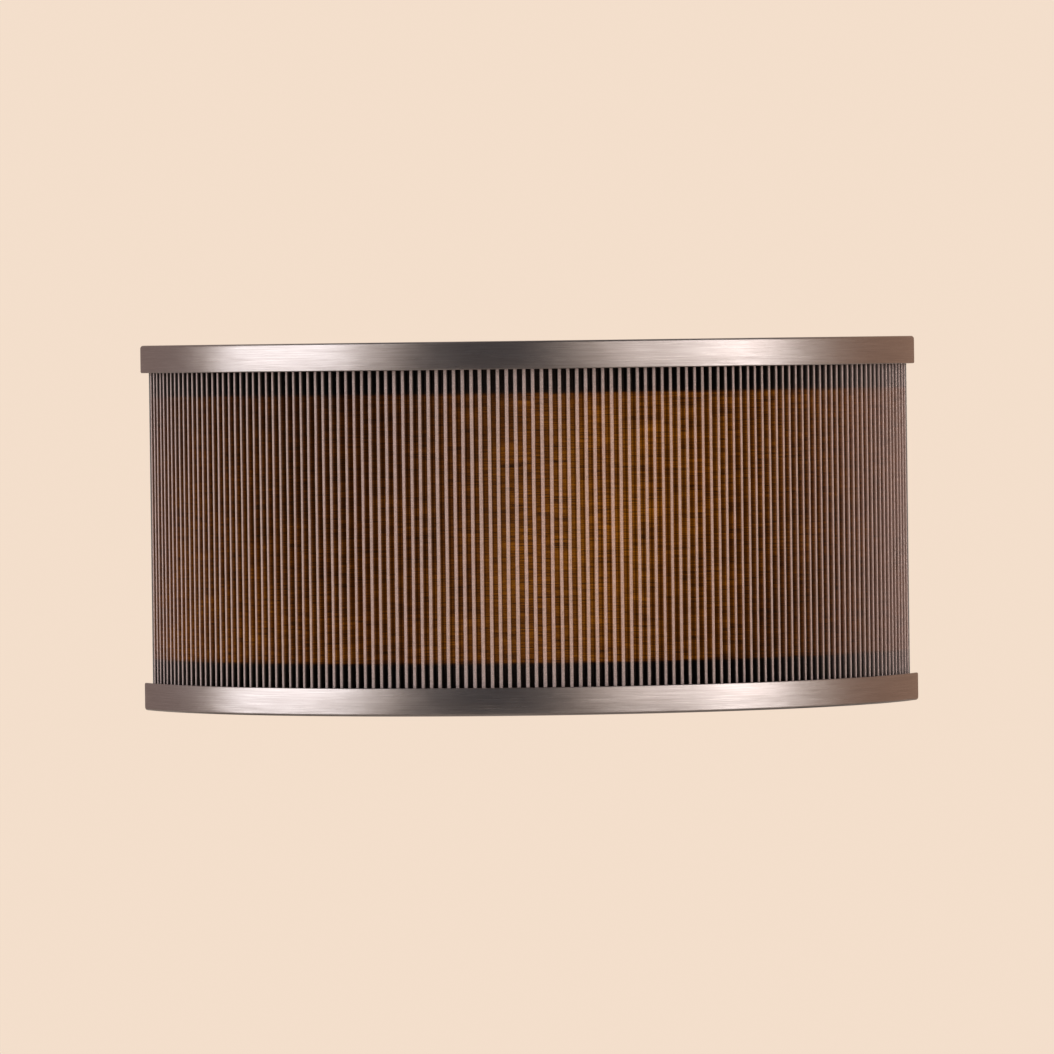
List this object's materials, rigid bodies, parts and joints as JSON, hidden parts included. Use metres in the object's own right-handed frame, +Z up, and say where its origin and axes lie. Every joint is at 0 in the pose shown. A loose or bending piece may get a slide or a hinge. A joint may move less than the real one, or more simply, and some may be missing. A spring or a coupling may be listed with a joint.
{
  "type": "wall light",
  "caption": "Half-drum wall light with a pleated cloth shade between flat metal trim bands, lamps on a central bracket inside, open at the top and bottom.",
  "frame": {"origin": "centre of the wall strap's cable hole and of its two wall screw slots, in the plane of the wall", "axes": "+X to the right as seen from the room, +Y into the wall, +Z up; the shade's front faces -Y"},
  "size_m": [0.31, 0.113, 0.146],
  "materials": {
    "trim_metal": "brushed antique nickel",
    "frame_metal": "satin pewter grey",
    "cloth": "pleated woven cloth, warm grey, glowing amber where lit",
    "liner_film": "translucent amber backing film",
    "pan_metal": "satin warm white",
    "zinc_steel": "bright zinc plate",
    "thumb_metal": "satin nickel",
    "brass_plain": "plain",
    "inlet_rubber": "matt black",
    "holder_plastic": "warm white moulded",
    "block_plastic": "natural white moulded",
    "cap_metal": "bright",
    "insulator_black": "gloss black",
    "solder": "dull",
    "housing_plastic": "white moulded",
    "board_white": "white coated board",
    "globe_opal": "opal, lit warm white"
  },
  "bodies": {
    "wall_unit": {"base_nipple": "brass_plain", "base_nut_back": "zinc_steel", "base_nut_front": "zinc_steel", "cable_inlet_bush": "inlet_rubber", "cap_nut_left": "thumb_metal", "cap_nut_right": "thumb_metal", "centre_contact_left": "brass_plain", "centre_contact_right": "brass_plain", "earth_screw": "brass_plain", "holder_nipple_left": "brass_plain", "holder_nipple_right": "brass_plain", "holder_nut_left": "zinc_steel", "holder_nut_right": "zinc_steel", "lamp_bracket": "zinc_steel", "lampholder_left": "holder_plastic", "lampholder_right": "holder_plastic", "press_nut_left": "zinc_steel", "press_nut_right": "zinc_steel", "screw_shell_left": "brass_plain", "screw_shell_right": "brass_plain", "strap_bolt_left": "zinc_steel", "strap_bolt_right": "zinc_steel", "terminal_block": "block_plastic", "wall_pan": "pan_metal", "wall_strap": "zinc_steel"},
    "shade": {"trim_band_top": "trim_metal", "trim_band_bottom": "trim_metal", "inner_rim_top": "frame_metal", "inner_rim_bottom": "frame_metal", "shade_liner": "liner_film", "pleated_fabric": "cloth", "end_post_left": "frame_metal", "end_post_right": "frame_metal", "rear_tie_top": "frame_metal", "rear_tie_bottom": "frame_metal", "shade_arm_left": "frame_metal", "shade_arm_right": "frame_metal"},
    "thumb_left": {"thumb_screw_left": "thumb_metal"},
    "thumb_right": {"thumb_screw_right": "thumb_metal"},
    "lamp_left": {"lamp_tip_left": "solder", "lamp_insulator_left": "insulator_black", "lamp_cap_left": "cap_metal", "lamp_housing_left": "housing_plastic", "lamp_board_left": "board_white", "lamp_globe_left": "globe_opal"},
    "lamp_right": {"lamp_tip_right": "solder", "lamp_insulator_right": "insulator_black", "lamp_cap_right": "cap_metal", "lamp_housing_right": "housing_plastic", "lamp_board_right": "board_white", "lamp_globe_right": "globe_opal"}
  },
  "joints": [
    {"name": "shade_pull", "type": "slide", "parent": "wall_unit", "child": "shade", "axis": [0, -1, 0], "range_m": [0, 0.12]},
    {"name": "thumb_left_turn", "type": "hinge", "parent": "shade", "child": "thumb_left", "pos_m": [-0.118, -0.0162, 0], "axis": [0, 1, 0], "continuous": true},
    {"name": "thumb_right_turn", "type": "hinge", "parent": "shade", "child": "thumb_right", "pos_m": [0.118, -0.0162, 0], "axis": [0, 1, 0], "continuous": true},
    {"name": "lamp_left_turn", "type": "hinge", "parent": "wall_unit", "child": "lamp_left", "pos_m": [-0.05, -0.042, 0], "axis": [-1, 0, 0], "continuous": true},
    {"name": "lamp_right_turn", "type": "hinge", "parent": "wall_unit", "child": "lamp_right", "pos_m": [0.05, -0.042, 0], "axis": [1, 0, 0], "continuous": true}
  ]
}
